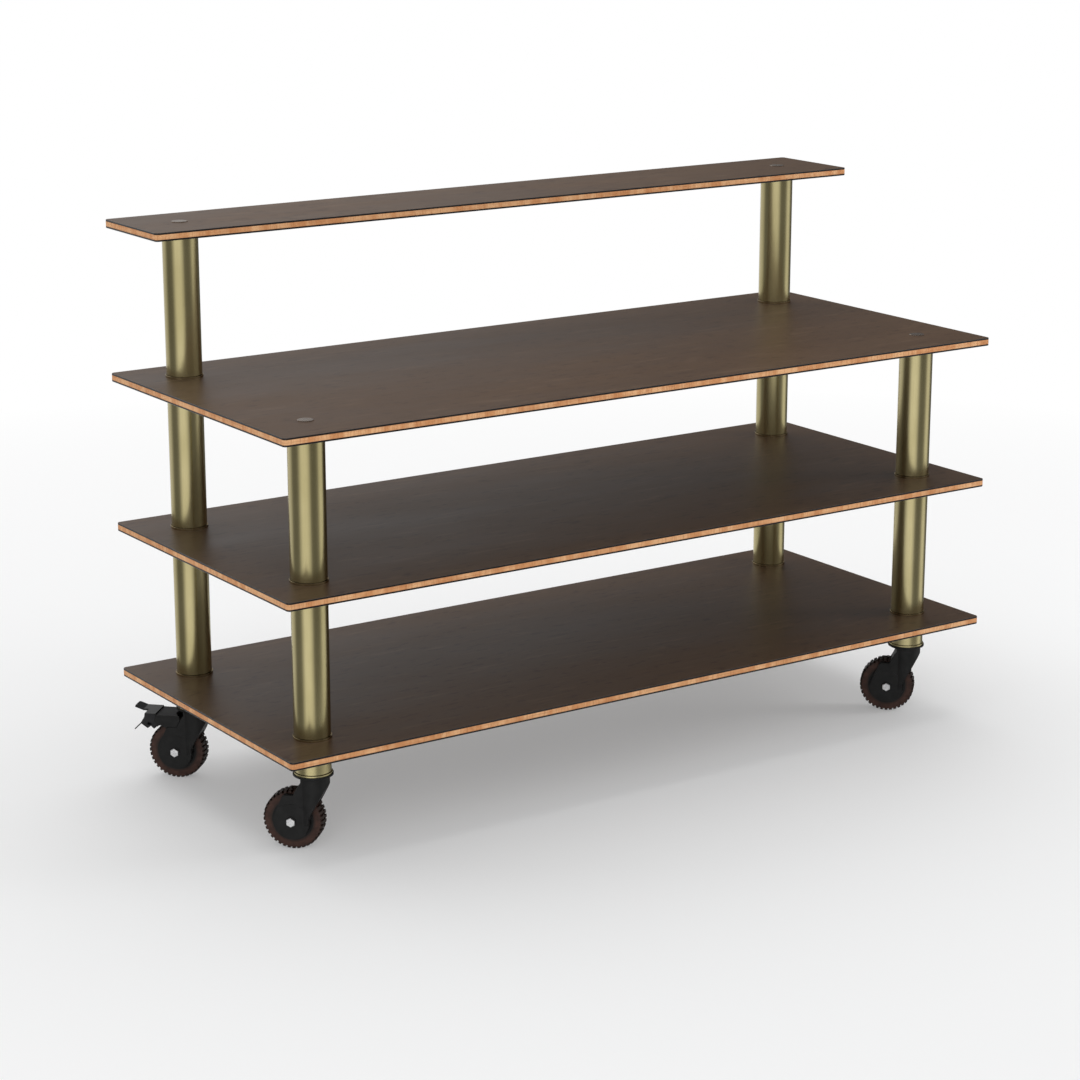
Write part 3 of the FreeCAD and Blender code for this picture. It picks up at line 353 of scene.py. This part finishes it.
def tyre_rubber(corner):
    """Rubber coloured by its distance from that corner's axle: brown on the wall, with painted shade against
    the hub and out on the lugs.
    """
    rubber, shader, place = start_finish(f"tyre_rubber_{corner}", Specular_IOR_Level=0.3)
    low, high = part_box(f"{corner}_tyre")
    centre = [-(a + b) / 2 for a, b in zip(low, high)]
    from_axle = add_node(rubber, "ShaderNodeMapping", {"Vector": place, "Location": centre}).outputs["Vector"]
    x, y, z = parts_of(rubber, from_axle)
    along = reckon(rubber, "MULTIPLY", reckon(rubber, "SUBTRACT", x, y), math.sqrt(0.5))
    flat = add_node(rubber, "ShaderNodeCombineXYZ", {"X": along, "Y": z}).outputs["Vector"]
    out = add_node(rubber, "ShaderNodeVectorMath", {0: flat}, operation="LENGTH").outputs["Value"]
    cloud = noise(rubber, place, rubber_cloud_repeats, detail=4.0)
    sparks = noise(rubber, place, rubber_spark_repeats, detail=2.0)
    tone = laid_over(rubber, rubber_dark, rubber_brown, cloud, low=0.35, high=0.65)
    tone = laid_over(rubber, tone, rubber_dust, sparks, low=0.6, high=0.8, most=0.3)
    brown_from, lugs_from = wall_inside + wall_fade, wall_outside + wall_fade
    # Painted shade: darker against the hub and out on the lugs, where the bulging wall turns from the light.
    tone = laid_over(rubber, tone, tyre_painted_shade, out, low=brown_from, high=wall_inside, most=0.7)
    tone = laid_over(rubber, tone, tyre_painted_shade, out, low=wall_outside, high=lugs_from, most=0.85)
    roughness = spread(rubber, sparks, 0.3, 0.7, *rubber_roughness)
    feed(rubber, shader, tone, roughness, sparks, rubber_relief, strength=0.5)
    paint(rubber, f"{corner}_tyre")


for corner in corners:
    tyre_rubber(corner)

shoe, shader, place = start_finish("shoe_rubber", Specular_IOR_Level=0.4)
sparks = noise(shoe, place, shoe_spark_repeats)
tone = blended(shoe, sparks, shoe_black, shoe_grey)
feed(shoe, shader, tone, spread(shoe, sparks, 0.3, 0.7, *shoe_roughness), sparks, rubber_relief, strength=0.5)
paint(shoe, *[f"{c}_brake_shoe" for c in back_corners])


# Studio. A pale floor runs out into white paper, under three wide soft lamps and an even sky. Metal and
# gloss show the room round the table instead, with lit screens and darker gaps between them: one ring of
# screens up to the horizon, and another above it that fades overhead.
floor_half = 30.0
floor_tone = (0.88, 0.88, 0.88, 1)
paper_white = (1, 1, 1, 1)
sky_tone = (0.98, 0.99, 1.0, 1)
horizon_light, zenith_light = 0.82, 0.46
white_near, white_far = 0.22, 1.0
# These are metres out from the middle, over which the camera sees the floor turn white, and metal and
# gloss come to see through it to the room.
white_from, white_to = 0.8, 4.0
clear_from, clear_to = 0.6, 1.4
# Each stop is a bearing in degrees, 0 at the back and 90 at the right, and the brightness there.
lower_screens = [
    (-180, 0.18), (-174, 0.22), (-164, 0.70), (-150, 1.00), (-118, 1.00), (-100, 0.36),
    (-92, 0.18), (-58, 0.18), (-38, 0.62), (18, 0.88), (46, 0.12), (94, 0.16),
    (106, 0.85), (128, 0.85), (141, 0.30), (154, 0.18), (180, 0.18)]
upper_screens = [
    (-180, 0.70), (-110, 0.70), (-60, 0.50), (-20, 1.00), (18, 1.00), (30, 0.62), (38, 0.24),
    (46, 0.12), (96, 0.15), (110, 1.00), (140, 1.00), (152, 0.60), (180, 0.70)]
upper_fade = [(-1.0, 1.0), (0.08, 0.66), (0.26, 0.66), (0.42, 1.0), (0.62, 1.0), (0.74, 0.2), (1.0, 0.2)]


def stepped(made, value, low, high, stops):
    """A brightness that goes through the stops as the value goes from low to high."""
    ramp = add_node(made, "ShaderNodeValToRGB", {"Fac": spread(made, value, low, high)})
    marks = ramp.color_ramp.elements
    while len(marks) < len(stops):
        marks.new(0.5)
    for mark, (at, bright) in zip(marks, stops):
        mark.position = (at - low) / (high - low)
        mark.color = (bright, bright, bright, 1)
    return ramp.outputs["Color"]


def seen_by(made):
    """Whether a ray comes from the camera, and whether it comes off metal or gloss, or through glass."""
    rays = add_node(made, "ShaderNodeLightPath").outputs
    return rays["Is Camera Ray"], reckon(made, "MAXIMUM", rays["Is Glossy Ray"], rays["Is Transmission Ray"])


bpy.ops.object.select_all(action="DESELECT")
bpy.ops.mesh.primitive_plane_add(size=2 * floor_half)
floor = bpy.context.object
floor.name = "studio_floor"

paper, shader, place = start_finish("studio_paper", Roughness=0.9, Specular_IOR_Level=0.1)
shader.inputs["Base Color"].default_value = floor_tone
camera_ray, mirror_ray = seen_by(paper)
away = add_node(paper, "ShaderNodeVectorMath", {0: place}, operation="LENGTH").outputs["Value"]
whiteness = spread(paper, away, white_from, white_to, white_near, white_far)
whitened = reckon(paper, "MULTIPLY", camera_ray, whiteness)
cleared = reckon(paper, "MULTIPLY", mirror_ray, spread(paper, away, clear_from, clear_to))
white = add_node(paper, "ShaderNodeEmission", {"Color": paper_white, "Strength": 1.0}).outputs["Emission"]
clear = add_node(paper, "ShaderNodeBsdfTransparent").outputs["BSDF"]
first = add_node(paper, "ShaderNodeMixShader", {
    0: whitened, 1: shader.outputs["BSDF"], 2: white}).outputs["Shader"]
both = add_node(paper, "ShaderNodeMixShader", {0: cleared, 1: first, 2: clear}).outputs["Shader"]
join(paper, both, paper.node_tree.nodes["Material Output"].inputs["Surface"])
floor.data.materials.append(paper)

world = bpy.data.worlds.new("studio_sky")
bpy.context.scene.world = world
world.use_nodes = True
across, along, rise = parts_of(world, add_node(world, "ShaderNodeTexCoord").outputs["Generated"])
sky = world.node_tree.nodes["Background"]
sky.inputs["Color"].default_value = sky_tone
join(world, spread(world, rise, 0.25, 0.7, horizon_light, zenith_light), sky.inputs["Strength"])
backdrop = add_node(world, "ShaderNodeBackground", {"Color": paper_white, "Strength": 1.0})

bearing = reckon(world, "MULTIPLY", reckon(world, "ARCTAN2", across, along), 180 / math.pi)
lower = stepped(world, bearing, -180, 180, lower_screens)
upper = stepped(world, bearing, -180, 180, upper_screens)
upper = blended(world, 1.0, upper, stepped(world, rise, -1, 1, upper_fade), "MULTIPLY")
screens = blended(world, spread(world, rise, 0.02, 0.08), lower, upper)
room = add_node(world, "ShaderNodeBackground", {"Color": screens, "Strength": 1.0}).outputs["Background"]
camera_ray, mirror_ray = seen_by(world)
first = add_node(world, "ShaderNodeMixShader", {
    0: camera_ray, 1: sky.outputs["Background"], 2: backdrop.outputs["Background"]}).outputs["Shader"]
both = add_node(world, "ShaderNodeMixShader", {0: mirror_ray, 1: first, 2: room}).outputs["Shader"]
join(world, both, world.node_tree.nodes["World Output"].inputs["Surface"])


def soft_lamp(name, place, aim, wide, high, power):
    """A wide soft lamp at a place, turned to its aim."""
    bpy.ops.object.light_add(type="AREA", location=place)
    lamp = bpy.context.object
    lamp.name = name
    lamp.data.shape = "RECTANGLE"
    lamp.data.size = wide
    lamp.data.size_y = high
    lamp.data.energy = power
    lamp.visible_camera = False
    lamp.visible_glossy = False
    lamp.rotation_euler = (lamp.location - Vector(aim)).to_track_quat("Z", "Y").to_euler()


soft_lamp("lamp_overhead", (0.2, 1.3, 4.5), aim=(0, 0, 0), wide=5.0, high=5.0, power=120)
soft_lamp("lamp_left", (-4.6, -4.2, 2.2), aim=(0, 0, 0.7), wide=2.2, high=3.4, power=60)
soft_lamp("lamp_right", (4.4, -2.4, 2.0), aim=(0, 0, 0.7), wide=1.4, high=3.0, power=60)


# Camera. It stands at the photograph's place, above the table and to its left, and looks down on it
# a little through a long lens.
camera_place = (-3.460, -5.015, 2.110)
camera_tilt, camera_turn = 74.994, -34.106
lens_length, sensor_width = 93.68, 36.0

bpy.ops.object.camera_add(location=camera_place)
camera = bpy.context.object
camera.rotation_euler = (math.radians(camera_tilt), 0, math.radians(camera_turn))
camera.data.sensor_width = sensor_width
camera.data.lens = lens_length
bpy.context.scene.camera = camera
bpy.context.scene.view_settings.view_transform = "Standard"
